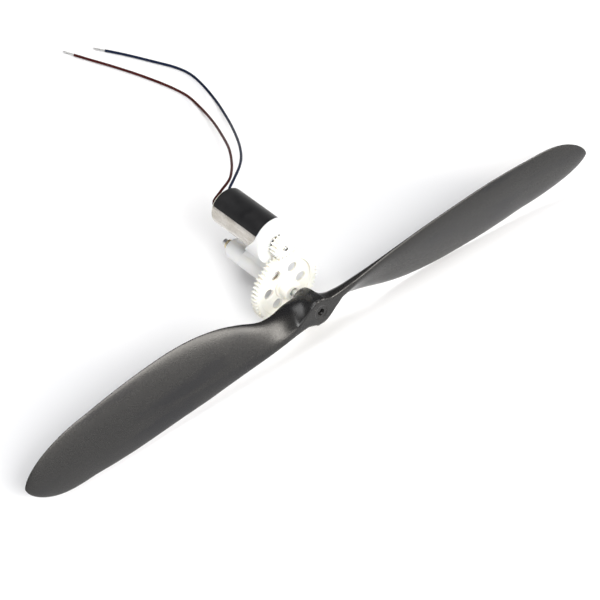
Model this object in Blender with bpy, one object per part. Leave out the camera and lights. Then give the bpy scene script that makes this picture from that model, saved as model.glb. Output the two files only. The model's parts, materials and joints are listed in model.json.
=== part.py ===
"""Geared two-blade propeller unit for a small indoor model aeroplane.

A moulded slow-flying propeller sits on a steel shaft.  The shaft carries a
54-tooth spur gear and runs through a nylon gearbox.  A small coreless motor
is clamped in the gearbox above the shaft and drives the gear with a 16-tooth
pinion.  Two thin leads leave the rear of the motor.

Frame: metres, +Z up, the propeller faces -Y, its blades lie along X.
Sizes below are in millimetres unless the name says otherwise.
"""
import math

import bmesh
import bpy
import numpy as np
from mathutils import Vector

MM = 0.001

# ---------------------------------------------------------------- main sizes
PROP_RADIUS = 76.2
MODULE = 0.3
GEAR_TEETH = 54
PINION_TEETH = 16
SHAFT_HEIGHT = 8.9
CENTRE_DISTANCE = 10.55
PROP_PLANE = -12.8

SHAFT_R = 0.75
SHAFT_FRONT = -1.75
SHAFT_REAR = 28.6

HUB_FRONT = -2.55
HUB_REAR = 4.0
HUB_BORE_R = 0.85
HUB_FRONT_R = 3.2
HUB_REAR_R = 2.4

GEAR_FRONT = 8.5
GEAR_REAR = 10.1
GEAR_BOSS_FRONT = 6.1
GEAR_BOSS_R = 2.1
HOLE_CIRCLE_R = 4.3
HOLE_R = 1.15

TUBE_FRONT = 10.95
TUBE_REAR = 26.1
TUBE_R = 2.4
BUSH_FLANGE = 0.45
BUSH_R = 1.5

CAN_R = 4.15
CAN_WALL = 0.3
CAN_FRONT = 11.65
CAN_REAR = 27.1
LABEL_FRONT = 12.75
SLEEVE_BORE_R = 4.42
SLEEVE_R = 5.1
SLEEVE_FRONT = 10.7

MOTOR_SHAFT_R = 0.5
LEAD_R = 0.3
LEAD_X = 2.2
BARE_R = 0.2

# Blade stations: radius, chord, pitch angle in degrees, and how far the
# middle of the chord stands forward (-) or back (+) and up (+) on the -X blade.
BLADE_STATIONS = (
    (1.2, 6.8, 54.0, 0.25, 0.15),
    (6.0, 6.9, 46.0, 0.00, -0.05),
    (10.0, 7.0, 31.0, -0.45, -0.35),
    (14.0, 8.1, 21.0, -0.70, -0.28),
    (19.0, 10.8, 16.6, -0.48, 0.40),
    (24.0, 13.1, 14.4, -0.34, 0.93),
    (30.0, 15.0, 12.9, -0.30, 1.15),
    (36.0, 15.9, 11.6, -0.34, 1.10),
    (42.0, 16.25, 10.4, -0.50, 0.75),
    (48.0, 16.2, 9.4, -0.72, 0.33),
    (54.0, 15.6, 8.8, -0.93, -0.10),
    (60.0, 14.6, 8.3, -1.16, -0.50),
    (68.0, 14.6, 7.4, -1.72, -0.90),
    (PROP_RADIUS, 14.6, 7.0, -2.50, -0.45),
)
TIP_START = 60.0


# ------------------------------------------------------------------- helpers
def clear_scene():
    for obj in list(bpy.data.objects):
        bpy.data.objects.remove(obj, do_unlink=True)
    for mesh in list(bpy.data.meshes):
        bpy.data.meshes.remove(mesh)
    for curve in list(bpy.data.curves):
        bpy.data.curves.remove(curve)
    for mat in list(bpy.data.materials):
        bpy.data.materials.remove(mat)


def make_material(name, colour, roughness, metallic=0.0):
    mat = bpy.data.materials.new(name)
    mat.use_nodes = True
    shader = mat.node_tree.nodes["Principled BSDF"]
    shader.inputs["Base Color"].default_value = (*colour, 1.0)
    shader.inputs["Roughness"].default_value = roughness
    shader.inputs["Metallic"].default_value = metallic
    mat.diffuse_color = (*colour, 1.0)
    return mat


def place(x, y, z):
    """Shaft-centred millimetres to world metres."""
    return Vector((x * MM, (y + PROP_PLANE) * MM, (z + SHAFT_HEIGHT) * MM))


def finish_mesh(name, bm, origin, material, smooth_deg=35.0):
    """Turn a bmesh in shaft-centred millimetres into a named object."""
    bmesh.ops.remove_doubles(bm, verts=bm.verts, dist=1e-5)
    bmesh.ops.recalc_face_normals(bm, faces=bm.faces)
    base = Vector(origin)
    for vert in bm.verts:
        vert.co = (vert.co - base) * MM
    mesh = bpy.data.meshes.new(name)
    bm.to_mesh(mesh)
    bm.free()
    mesh.materials.append(material)
    for poly in mesh.polygons:
        poly.use_smooth = True
    mesh.set_sharp_from_angle(angle=math.radians(smooth_deg))
    obj = bpy.data.objects.new(name, mesh)
    obj.location = place(*origin)
    bpy.context.scene.collection.objects.link(obj)
    return obj


def bridge_rings(bm, rings, closed):
    """Skin a list of vertex rings; a ring of one vertex is a pole."""
    count = len(rings)
    last = count if closed else count - 1
    for i in range(last):
        a = rings[i]
        b = rings[(i + 1) % count]
        steps = max(len(a), len(b))
        for k in range(steps):
            n = (k + 1) % steps
            if len(a) == 1:
                bm.faces.new((a[0], b[n], b[k]))
            elif len(b) == 1:
                bm.faces.new((a[k], a[n], b[0]))
            else:
                bm.faces.new((a[k], a[n], b[n], b[k]))


def turned(profile, centre=(0.0, 0.0), segments=32, phase=0.0):
    """A solid turned about a Y-parallel line; profile is (radius, y) points.

    A profile that starts and ends on the axis makes a solid body.  Any other
    profile is a closed loop and makes a ring.
    """
    bm = bmesh.new()
    rings = []
    for radius, y in profile:
        if radius < 1e-6:
            rings.append([bm.verts.new((centre[0], y, centre[1]))])
            continue
        ring = []
        for k in range(segments):
            angle = phase + 2.0 * math.pi * k / segments
            x = centre[0] + radius * math.cos(angle)
            z = centre[1] + radius * math.sin(angle)
            ring.append(bm.verts.new((x, y, z)))
        rings.append(ring)
    solid = profile[0][0] < 1e-6 and profile[-1][0] < 1e-6
    bridge_rings(bm, rings, closed=not solid)
    return bm


def prism_y(outline, y0, y1):
    """Extrude an (x, z) outline from y0 to y1."""
    bm = bmesh.new()
    front = [bm.verts.new((x, y0, z)) for x, z in outline]
    back = [bm.verts.new((x, y1, z)) for x, z in outline]
    bm.faces.new(front)
    bm.faces.new(back)
    count = len(outline)
    for k in range(count):
        n = (k + 1) % count
        bm.faces.new((front[k], front[n], back[n], back[k]))
    return bm


def prism_x(outline, x0, x1):
    """Extrude a (y, z) outline from x0 to x1."""
    bm = bmesh.new()
    left = [bm.verts.new((x0, y, z)) for y, z in outline]
    right = [bm.verts.new((x1, y, z)) for y, z in outline]
    bm.faces.new(left)
    bm.faces.new(right)
    count = len(outline)
    for k in range(count):
        n = (k + 1) % count
        bm.faces.new((left[k], left[n], right[n], right[k]))
    return bm


def prism_z(outline, z0, z1):
    """Extrude an (x, y) outline from z0 to z1."""
    bm = bmesh.new()
    low = [bm.verts.new((x, y, z0)) for x, y in outline]
    high = [bm.verts.new((x, y, z1)) for x, y in outline]
    bm.faces.new(low)
    bm.faces.new(high)
    count = len(outline)
    for k in range(count):
        n = (k + 1) % count
        bm.faces.new((low[k], low[n], high[n], high[k]))
    return bm


def temp_object(bm):
    bmesh.ops.recalc_face_normals(bm, faces=bm.faces)
    mesh = bpy.data.meshes.new("work")
    bm.to_mesh(mesh)
    bm.free()
    obj = bpy.data.objects.new("work", mesh)
    bpy.context.scene.collection.objects.link(obj)
    return obj


def combine(base, other, operation):
    """Exact Boolean of two bmeshes; both are used up."""
    a = temp_object(base)
    b = temp_object(other)
    mod = a.modifiers.new("cut", "BOOLEAN")
    mod.operation = operation
    mod.solver = "EXACT"
    mod.object = b
    bpy.context.view_layer.update()
    graph = bpy.context.evaluated_depsgraph_get()
    result = bpy.data.meshes.new_from_object(a.evaluated_get(graph))
    bm = bmesh.new()
    bm.from_mesh(result)
    for obj in (a, b):
        mesh = obj.data
        bpy.data.objects.remove(obj, do_unlink=True)
        bpy.data.meshes.remove(mesh)
    bpy.data.meshes.remove(result)
    bmesh.ops.dissolve_degenerate(bm, dist=1e-5, edges=bm.edges)
    return bm


def union(base, other):
    return combine(base, other, "UNION")


def subtract(base, other):
    return combine(base, other, "DIFFERENCE")


def intersect(base, other):
    return combine(base, other, "INTERSECT")


def smooth_value(x, column):
    """Read one column of the blade table with a smooth cubic."""
    xs = [row[0] for row in BLADE_STATIONS]
    ys = [row[column] for row in BLADE_STATIONS]
    i = 0
    while i < len(xs) - 2 and x > xs[i + 1]:
        i += 1
    span = xs[i + 1] - xs[i]
    t = min(max((x - xs[i]) / span, 0.0), 1.0)
    before = max(i - 1, 0)
    after = min(i + 2, len(xs) - 1)
    slope_a = (ys[i + 1] - ys[before]) / (xs[i + 1] - xs[before]) * span
    slope_b = (ys[after] - ys[i]) / (xs[after] - xs[i]) * span
    t2 = t * t
    t3 = t2 * t
    return (
        (2 * t3 - 3 * t2 + 1) * ys[i]
        + (t3 - 2 * t2 + t) * slope_a
        + (3 * t2 - 2 * t3) * ys[i + 1]
        + (t3 - t2) * slope_b
    )


# --------------------------------------------------------------- propeller
def behind_hub_face(y, radius):
    """Keep the blade roots softly behind the flat front face of the hub."""
    limit = HUB_FRONT + 0.45
    if y >= limit:
        return y
    over = limit - y
    held = limit - over / (1.0 + over / 0.35)
    free = min(max((radius - 6.0) / 8.0, 0.0), 1.0)
    return held + (y - held) * free


def blade_section(radius, half_points=9):
    """Closed (y, z) loop of the blade at one radius, for the -X blade."""
    chord = smooth_value(radius, 1)
    pitch = math.radians(smooth_value(radius, 2))
    mid_y = smooth_value(radius, 3)
    mid_z = smooth_value(radius, 4)
    thick = 0.62 + 3.0 * math.exp(-radius / 9.0) + 0.35 * (1.0 - radius / PROP_RADIUS)
    camber = 0.055 * min(1.0, radius / 24.0)
    if radius > TIP_START:
        x = (radius - TIP_START) / (PROP_RADIUS - TIP_START)
        shrink = max(1.0 - x * x, 0.0) ** 0.62
        chord *= shrink
        thick *= 0.35 + 0.65 * shrink ** 0.5
    along = (math.sin(pitch), math.cos(pitch))
    front = (-math.cos(pitch), math.sin(pitch))
    upper = []
    lower = []
    for k in range(half_points + 1):
        s = 0.5 - 0.5 * math.cos(math.pi * k / half_points)
        body = (1.0 - (2.0 * s - 1.0) ** 4) ** 0.5 if 0 < k < half_points else 0.0
        half = 0.5 * thick * body * (1.15 - 0.55 * s)
        arch = 4.0 * camber * chord * s * (1.0 - s)
        run = (s - 0.5) * chord
        for side, store in ((1.0, upper), (-1.0, lower)):
            lift = arch + side * half
            y = mid_y + along[0] * run + front[0] * lift
            z = mid_z + along[1] * run + front[1] * lift
            store.append((behind_hub_face(y, radius), z))
    return upper + lower[-2:0:-1]


def build_blade(side):
    """One blade; side -1 is the -X blade, +1 its half-turn copy."""
    radii = [1.2, 3.5, 6, 8, 10, 12, 14.5, 17, 20, 24, 28, 32, 37, 42, 47, 52,
             57, 61, 64.5, 67.5, 70, 72, 73.5, 74.7, 75.5, 75.95]
    bm = bmesh.new()
    rings = []
    for radius in radii:
        ring = []
        for y, z in blade_section(radius):
            ring.append(bm.verts.new((side * radius, y, -side * z)))
        rings.append(ring)
    bridge_rings(bm, rings, closed=False)
    bm.faces.new(rings[0])
    bm.faces.new(rings[-1])
    return bm


def build_propeller(material):
    hub = turned(
        (
            (0.0, HUB_REAR),
            (HUB_REAR_R - 0.2, HUB_REAR),
            (HUB_REAR_R, HUB_REAR - 0.2),
            (2.75, 0.4),
            (HUB_FRONT_R, -1.2),
            (HUB_FRONT_R, HUB_FRONT + 0.2),
            (HUB_FRONT_R - 0.2, HUB_FRONT),
            (0.0, HUB_FRONT),
        ),
        segments=36,
    )
    hub = union(hub, build_blade(-1))
    hub = union(hub, build_blade(1))
    recess = turned(
        ((0.0, HUB_FRONT - 1.0), (1.55, HUB_FRONT - 1.0), (1.55, HUB_FRONT + 0.3),
         (0.0, HUB_FRONT + 0.3)),
        segments=24,
    )
    hub = subtract(hub, recess)
    bore = turned(
        ((0.0, -4.0), (HUB_BORE_R, -4.0), (HUB_BORE_R, 6.0), (0.0, 6.0)),
        segments=24,
    )
    hub = subtract(hub, bore)
    return finish_mesh("propeller", hub, (0.0, 0.0, 0.0), material)


# -------------------------------------------------------------------- gears
def gear_outline(teeth, start_deg, addendum, dedendum, play, flank_points):
    """(x, z) outline of an external spur gear with 20 degree flanks."""
    pitch_r = 0.5 * MODULE * teeth
    base_r = pitch_r * math.cos(math.radians(20.0))
    tip_r = pitch_r + addendum
    root_r = pitch_r - dedendum
    inv_pitch = math.tan(math.radians(20.0)) - math.radians(20.0)
    half_tooth = math.pi / (2 * teeth) - play / (2 * pitch_r)
    low_r = max(root_r, base_r)
    flank = []
    if root_r < base_r:
        flank.append((root_r, half_tooth + inv_pitch))
    for k in range(flank_points):
        r = low_r + (tip_r - low_r) * k / (flank_points - 1)
        roll = math.acos(min(1.0, base_r / r))
        inv = math.tan(roll) - roll
        flank.append((r, half_tooth + inv_pitch - inv))
    outline = []
    for i in range(teeth):
        middle = math.radians(start_deg) + 2.0 * math.pi * i / teeth
        for r, half in flank:
            outline.append((r * math.cos(middle - half), r * math.sin(middle - half)))
        for r, half in reversed(flank):
            outline.append((r * math.cos(middle + half), r * math.sin(middle + half)))
    return outline


def build_main_gear(material):
    outline = gear_outline(GEAR_TEETH, 90.0, 0.27, 0.36, 0.07, 2)
    gear = prism_y(outline, GEAR_FRONT, GEAR_REAR)
    for y0, y1 in ((GEAR_FRONT - 1.0, GEAR_FRONT + 0.5), (GEAR_REAR - 0.4, GEAR_REAR + 1.0)):
        pocket = turned(((2.6, y0), (6.7, y0), (6.7, y1), (2.6, y1)), segments=48)
        gear = subtract(gear, pocket)
    boss = turned(
        (
            (0.0, GEAR_BOSS_FRONT),
            (GEAR_BOSS_R - 0.2, GEAR_BOSS_FRONT),
            (GEAR_BOSS_R, GEAR_BOSS_FRONT + 0.2),
            (GEAR_BOSS_R, GEAR_REAR - 0.2),
            (0.0, GEAR_REAR - 0.2),
        ),
        segments=32,
        phase=0.05,
    )
    gear = union(gear, boss)
    for k in range(6):
        angle = math.radians(60.0 * k)
        centre = (HOLE_CIRCLE_R * math.cos(angle), HOLE_CIRCLE_R * math.sin(angle))
        hole = turned(
            ((0.0, GEAR_FRONT - 1.0), (HOLE_R, GEAR_FRONT - 1.0), (HOLE_R, GEAR_REAR + 1.0),
             (0.0, GEAR_REAR + 1.0)),
            centre=centre,
            segments=16,
        )
        gear = subtract(gear, hole)
    bore = turned(
        ((0.0, 4.0), (HUB_BORE_R, 4.0), (HUB_BORE_R, 12.0), (0.0, 12.0)),
        segments=24,
    )
    gear = subtract(gear, bore)
    return finish_mesh("main_gear", gear, (0.0, GEAR_REAR, 0.0), material)


def build_pinion(material):
    raw = gear_outline(PINION_TEETH, -90.0 + 180.0 / PINION_TEETH, 0.27, 0.42, 0.09, 4)
    outline = [(x, z + CENTRE_DISTANCE) for x, z in raw]
    pinion = prism_y(outline, GEAR_FRONT - 0.35, GEAR_REAR + 0.1)
    bore_r = MOTOR_SHAFT_R + 0.07
    bore = turned(
        ((0.0, 5.0), (bore_r, 5.0), (bore_r, 13.0), (0.0, 13.0)),
        centre=(0.0, CENTRE_DISTANCE),
        segments=16,
    )
    pinion = subtract(pinion, bore)
    return finish_mesh("pinion", pinion, (0.0, GEAR_REAR, CENTRE_DISTANCE), material)


# ------------------------------------------------------------ shaft and rings
def ring(name, inner, outer, y0, y1, centre_z, material, segments=32, edge=0.0, phase=0.0):
    """A plain ring about a Y-parallel line, with optional bevelled outer edges."""
    profile = [(inner, y0), (outer - edge, y0)]
    if edge > 0.0:
        profile += [(outer, y0 + edge), (outer, y1 - edge)]
    profile += [(outer - edge, y1), (inner, y1)]
    bm = turned(profile, centre=(0.0, centre_z), segments=segments, phase=phase)
    return finish_mesh(name, bm, (0.0, y1, centre_z), material)


def rod(name, radius, y0, y1, centre_z, material, segments=24, edge=0.12):
    """A plain round rod with bevelled ends."""
    bm = turned(
        (
            (0.0, y0),
            (radius - edge, y0),
            (radius, y0 + edge),
            (radius, y1 - edge),
            (radius - edge, y1),
            (0.0, y1),
        ),
        centre=(0.0, centre_z),
        segments=segments,
    )
    return finish_mesh(name, bm, (0.0, y1, centre_z), material)


# ------------------------------------------------------------------- gearbox
def build_gearbox(material):
    """Bearing tube, web and clamping sleeve, moulded in one piece."""
    zc = CENTRE_DISTANCE
    tube = turned(
        (
            (0.0, TUBE_FRONT),
            (TUBE_R - 0.15, TUBE_FRONT),
            (TUBE_R, TUBE_FRONT + 0.15),
            (TUBE_R, TUBE_REAR - 0.7),
            (TUBE_R - 0.25, TUBE_REAR - 0.2),
            (TUBE_R - 0.75, TUBE_REAR),
            (0.0, TUBE_REAR),
        ),
        segments=32,
    )
    sleeve = turned(
        ((0.0, SLEEVE_FRONT), (SLEEVE_R, SLEEVE_FRONT), (SLEEVE_R, 22.0), (0.0, 22.0)),
        centre=(0.0, zc),
        segments=64,
    )
    side_view = (
        (SLEEVE_FRONT - 1.0, zc - 6.0),
        (19.0, zc - 6.0),
        (16.5, zc - 2.95),
        (13.05, zc + 1.3),
        (12.55, zc + 2.2),
        (12.45, zc + 3.2),
        (12.45, zc + 6.0),
        (SLEEVE_FRONT - 1.0, zc + 6.0),
    )
    sleeve = intersect(sleeve, prism_x(side_view, -8.0, 8.0))
    web = prism_x(
        ((TUBE_FRONT + 0.35, 0.0), (21.4, 0.0), (21.0, 1.9), (20.4, 2.9),
         (17.2, zc - 3.8), (16.6, zc - 3.0), (TUBE_FRONT + 0.35, zc - 3.0)),
        -1.3,
        1.3,
    )
    body = union(tube, web)
    body = union(body, sleeve)
    bore = turned(
        ((0.0, SLEEVE_FRONT + 0.75), (SLEEVE_BORE_R, SLEEVE_FRONT + 0.75),
         (SLEEVE_BORE_R, 30.0), (0.0, 30.0)),
        centre=(0.0, zc),
        segments=64,
    )
    body = subtract(body, bore)
    nose = turned(
        ((0.0, 8.0), (1.75, 8.0), (1.75, 14.0), (0.0, 14.0)),
        centre=(0.0, zc),
        segments=32,
    )
    body = subtract(body, nose)
    tunnel = turned(((0.0, 8.0), (0.95, 8.0), (0.95, 30.0), (0.0, 30.0)), segments=24)
    body = subtract(body, tunnel)
    for y0, y1 in ((TUBE_FRONT - 1.0, TUBE_FRONT + 2.6), (TUBE_REAR - 2.6, TUBE_REAR + 1.0)):
        seat = turned(
            ((0.0, y0), (BUSH_R + 0.03, y0), (BUSH_R + 0.03, y1), (0.0, y1)),
            segments=32,
        )
        body = subtract(body, seat)
    return finish_mesh("gearbox_frame", body, (0.0, TUBE_FRONT, 0.0), material)


def build_bushing(name, front, back, flange_at_front, material):
    """A flanged bush that lines one end of the bearing tube."""
    inner = SHAFT_R + 0.05
    if flange_at_front:
        profile = (
            (inner, front - BUSH_FLANGE),
            (BUSH_R + 0.35, front - BUSH_FLANGE),
            (BUSH_R + 0.35, front - 0.03),
            (BUSH_R, front - 0.03),
            (BUSH_R, back),
            (inner, back),
        )
    else:
        profile = (
            (inner, front),
            (BUSH_R, front),
            (BUSH_R, back + 0.03),
            (BUSH_R + 0.1, back + 0.03),
            (BUSH_R + 0.1, back + 0.25),
            (inner, back + 0.25),
        )
    bm = turned(profile, segments=32)
    return finish_mesh(name, bm, (0.0, front, 0.0), material)


# --------------------------------------------------------------------- motor
def build_motor(mats):
    zc = CENTRE_DISTANCE
    inner = CAN_R - CAN_WALL
    can = turned(
        (
            (1.2, CAN_FRONT - 0.9),
            (1.5, CAN_FRONT - 0.7),
            (1.5, CAN_FRONT),
            (CAN_R - 0.45, CAN_FRONT),
            (CAN_R - 0.12, CAN_FRONT + 0.14),
            (CAN_R, CAN_FRONT + 0.5),
            (CAN_R, CAN_REAR - 0.25),
            (CAN_R - 0.12, CAN_REAR),
            (inner, CAN_REAR),
            (inner, CAN_FRONT + CAN_WALL),
            (1.05, CAN_FRONT + CAN_WALL),
            (1.05, CAN_FRONT - 0.9),
        ),
        centre=(0.0, zc),
        segments=64,
    )
    finish_mesh("motor_can", can, (0.0, CAN_FRONT, zc), mats["steel"])

    # The label is a printed wrap that leaves one side of the can bare.
    start = 150.0
    sweep = 249.0
    steps = 44
    bm = bmesh.new()
    loops = []
    for k in range(steps + 1):
        angle = math.radians(start - sweep * k / steps)
        loop = []
        for r, y in ((CAN_R + 0.03, LABEL_FRONT), (CAN_R + 0.11, LABEL_FRONT),
                     (CAN_R + 0.11, CAN_REAR - 0.1), (CAN_R + 0.03, CAN_REAR - 0.1)):
            loop.append(bm.verts.new((r * math.cos(angle), y, zc + r * math.sin(angle))))
        loops.append(loop)
    for a, b in zip(loops[:-1], loops[1:]):
        for k in range(4):
            n = (k + 1) % 4
            bm.faces.new((a[k], a[n], b[n], b[k]))
    bm.faces.new(loops[0])
    bm.faces.new(loops[-1])
    finish_mesh("motor_label", bm, (0.0, CAN_FRONT, zc), mats["label"])

    cap = turned(
        (
            (0.0, CAN_REAR + 0.75),
            (3.2, CAN_REAR + 0.75),
            (3.75, CAN_REAR + 0.45),
            (3.95, CAN_REAR + 0.03),
            (inner - 0.04, CAN_REAR + 0.03),
            (inner - 0.04, CAN_REAR - 1.0),
            (0.86, CAN_REAR - 1.0),
            (0.86, CAN_REAR - 2.0),
            (0.58, CAN_REAR - 2.0),
            (0.58, CAN_REAR - 0.2),
            (0.0, CAN_REAR - 0.2),
        ),
        centre=(0.0, zc),
        segments=48,
    )
    for side in (-1.0, 1.0):
        hole = turned(
            ((0.0, CAN_REAR - 3.0), (0.42, CAN_REAR - 3.0), (0.42, CAN_REAR + 2.0),
             (0.0, CAN_REAR + 2.0)),
            centre=(LEAD_X * side, zc),
            segments=16,
        )
        cap = subtract(cap, hole)
    finish_mesh("motor_end_cap", cap, (0.0, CAN_REAR, zc), mats["cream"])

    ring("motor_front_bearing", 0.56, 1.0, CAN_FRONT - 0.85, CAN_FRONT + 0.9, zc,
         mats["brass"], segments=24)
    ring("motor_magnet", 0.9, 2.35, CAN_FRONT + 1.3, CAN_REAR - 5.4, zc,
         mats["magnet"], segments=32)
    rod("motor_shaft", MOTOR_SHAFT_R, GEAR_FRONT - 0.7, CAN_REAR - 0.5, zc,
        mats["steel_bright"], segments=20, edge=0.08)
    coil = turned(
        (
            (2.75, CAN_FRONT + 1.0),
            (3.3, CAN_FRONT + 1.0),
            (3.3, CAN_REAR - 4.6),
            (2.75, CAN_REAR - 4.6),
        ),
        centre=(0.0, zc),
        segments=40,
    )
    finish_mesh("rotor_coil", coil, (0.0, CAN_REAR - 5.0, zc), mats["copper"])
    disc = turned(
        (
            (MOTOR_SHAFT_R + 0.05, CAN_REAR - 5.0),
            (2.65, CAN_REAR - 5.0),
            (2.65, CAN_REAR - 4.5),
            (3.1, CAN_REAR - 4.5),
            (3.1, CAN_REAR - 4.0),
            (1.5, CAN_REAR - 4.0),
            (1.5, CAN_REAR - 3.7),
            (MOTOR_SHAFT_R + 0.05, CAN_REAR - 3.7),
        ),
        centre=(0.0, zc),
        segments=32,
    )
    finish_mesh("rotor_hub", disc, (0.0, CAN_REAR - 4.0, zc), mats["resin"])
    ring("commutator", MOTOR_SHAFT_R + 0.06, 0.85, CAN_REAR - 3.6, CAN_REAR - 2.25, zc,
         mats["copper"], segments=20)

    for side, name in ((-1.0, "red"), (1.0, "blue")):
        y_arm = CAN_REAR - 1.35
        brush = prism_z(
            (
                (side * 0.95, CAN_REAR - 3.4),
                (side * 1.12, CAN_REAR - 3.4),
                (side * 1.12, y_arm),
                (side * 2.7, y_arm),
                (side * 2.7, y_arm + 0.2),
                (side * 0.95, y_arm + 0.2),
            ),
            zc - 0.32,
            zc + 0.32,
        )
        finish_mesh("brush_" + name, brush, (side * 1.0, y_arm, zc), mats["brass"])
        solder = turned(
            (
                (0.0, y_arm + 0.26),
                (0.36, y_arm + 0.3),
                (0.36, y_arm + 0.5),
                (0.2, y_arm + 0.66),
                (0.0, y_arm + 0.68),
            ),
            centre=(LEAD_X * side, zc),
            segments=16,
        )
        finish_mesh("solder_" + name, solder, (LEAD_X * side, y_arm, zc), mats["tin"])


# --------------------------------------------------------------------- leads
def smooth_route(points, spacing):
    """Even points along a smooth curve through the given points."""
    pts = [np.array(p, dtype=float) for p in points]
    dense = []
    for i in range(len(pts) - 1):
        p0 = pts[i - 1] if i > 0 else 2 * pts[0] - pts[1]
        p1 = pts[i]
        p2 = pts[i + 1]
        p3 = pts[i + 2] if i + 2 < len(pts) else 2 * pts[-1] - pts[-2]
        t01 = np.linalg.norm(p1 - p0) ** 0.5
        t12 = np.linalg.norm(p2 - p1) ** 0.5
        t23 = np.linalg.norm(p3 - p2) ** 0.5
        m1 = p2 - p1 + t12 * ((p1 - p0) / t01 - (p2 - p0) / (t01 + t12))
        m2 = p2 - p1 + t12 * ((p3 - p2) / t23 - (p3 - p1) / (t12 + t23))
        for k in range(24):
            t = k / 24.0
            a = 2 * t ** 3 - 3 * t ** 2 + 1
            b = t ** 3 - 2 * t ** 2 + t
            c = 3 * t ** 2 - 2 * t ** 3
            d = t ** 3 - t ** 2
            dense.append(a * p1 + b * m1 + c * p2 + d * m2)
    dense.append(pts[-1])
    dense = np.array(dense)
    steps = np.linalg.norm(np.diff(dense, axis=0), axis=1)
    reach = np.concatenate(([0.0], np.cumsum(steps)))
    count = max(int(round(reach[-1] / spacing)), 2)
    wanted = np.linspace(0.0, reach[-1], count + 1)
    out = [np.interp(wanted, reach, dense[:, k]) for k in range(3)]
    return np.stack(out, axis=1), float(reach[-1])


def build_tube(name, points, radius, material):
    curve = bpy.data.curves.new(name, "CURVE")
    curve.dimensions = "3D"
    curve.bevel_depth = radius * MM
    curve.bevel_resolution = 2
    curve.use_fill_caps = True
    curve.render_resolution_u = 0
    spline = curve.splines.new("POLY")
    spline.points.add(len(points) - 1)
    origin = place(*points[0])
    for k, point in enumerate(points):
        spot = place(*point) - origin
        spline.points[k].co = (spot.x, spot.y, spot.z, 1.0)
    curve.materials.append(material)
    obj = bpy.data.objects.new(name, curve)
    obj.location = origin
    bpy.context.scene.collection.objects.link(obj)
    return obj


# Lead routes, from the rear of the motor to the stripped end on the table.
FLOOR = -SHAFT_HEIGHT
LEAD_FLOOR = FLOOR + LEAD_R + 0.12
RED_ROUTE = (
    (-2.2, 26.6, CENTRE_DISTANCE),
    (-2.15, 28.2, CENTRE_DISTANCE + 0.05),
    (-1.2, 29.9, CENTRE_DISTANCE),
    (2.4, 32.1, 10.0),
    (6.9, 34.7, 9.2),
    (10.2, 38.0, 7.9),
    (13.9, 42.6, 5.9),
    (18.6, 49.4, 2.9),
    (23.4, 57.7, -1.0),
    (28.6, 67.8, -5.3),
    (31.9, 76.3, -8.0),
    (32.9, 82.3, LEAD_FLOOR),
    (32.3, 87.0, LEAD_FLOOR),
    (31.2, 91.5, LEAD_FLOOR),
    (29.6, 96.8, LEAD_FLOOR),
    (27.3, 103.2, LEAD_FLOOR),
    (24.9, 109.2, LEAD_FLOOR),
    (23.6, 112.6, LEAD_FLOOR),
)
BLUE_ROUTE = (
    (2.2, 26.6, CENTRE_DISTANCE),
    (2.3, 28.4, CENTRE_DISTANCE + 0.05),
    (3.4, 30.5, 10.5),
    (7.0, 33.3, 10.0),
    (11.3, 36.8, 8.8),
    (15.2, 40.9, 6.8),
    (20.4, 47.8, 3.3),
    (26.2, 56.8, -1.1),
    (31.8, 66.6, -5.4),
    (36.3, 76.5, -8.1),
    (38.2, 83.9, LEAD_FLOOR),
    (38.6, 88.4, LEAD_FLOOR),
    (37.9, 92.2, LEAD_FLOOR),
    (35.0, 98.9, LEAD_FLOOR),
    (31.8, 105.6, LEAD_FLOOR),
    (29.9, 109.0, LEAD_FLOOR),
)


def build_leads(mats):
    for name, route in (("red", RED_ROUTE), ("blue", BLUE_ROUTE)):
        points, length = smooth_route(route, 1.45)
        build_tube(name + "_lead", points, LEAD_R, mats[name])
        end = np.array(points[-1])
        heading = end - np.array(points[-2])
        heading /= np.linalg.norm(heading)
        bare = [end + heading * (0.3 + 0.9 * k) for k in range(4)]
        build_tube(name + "_tinned_end", bare, BARE_R, mats["tin"])


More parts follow.
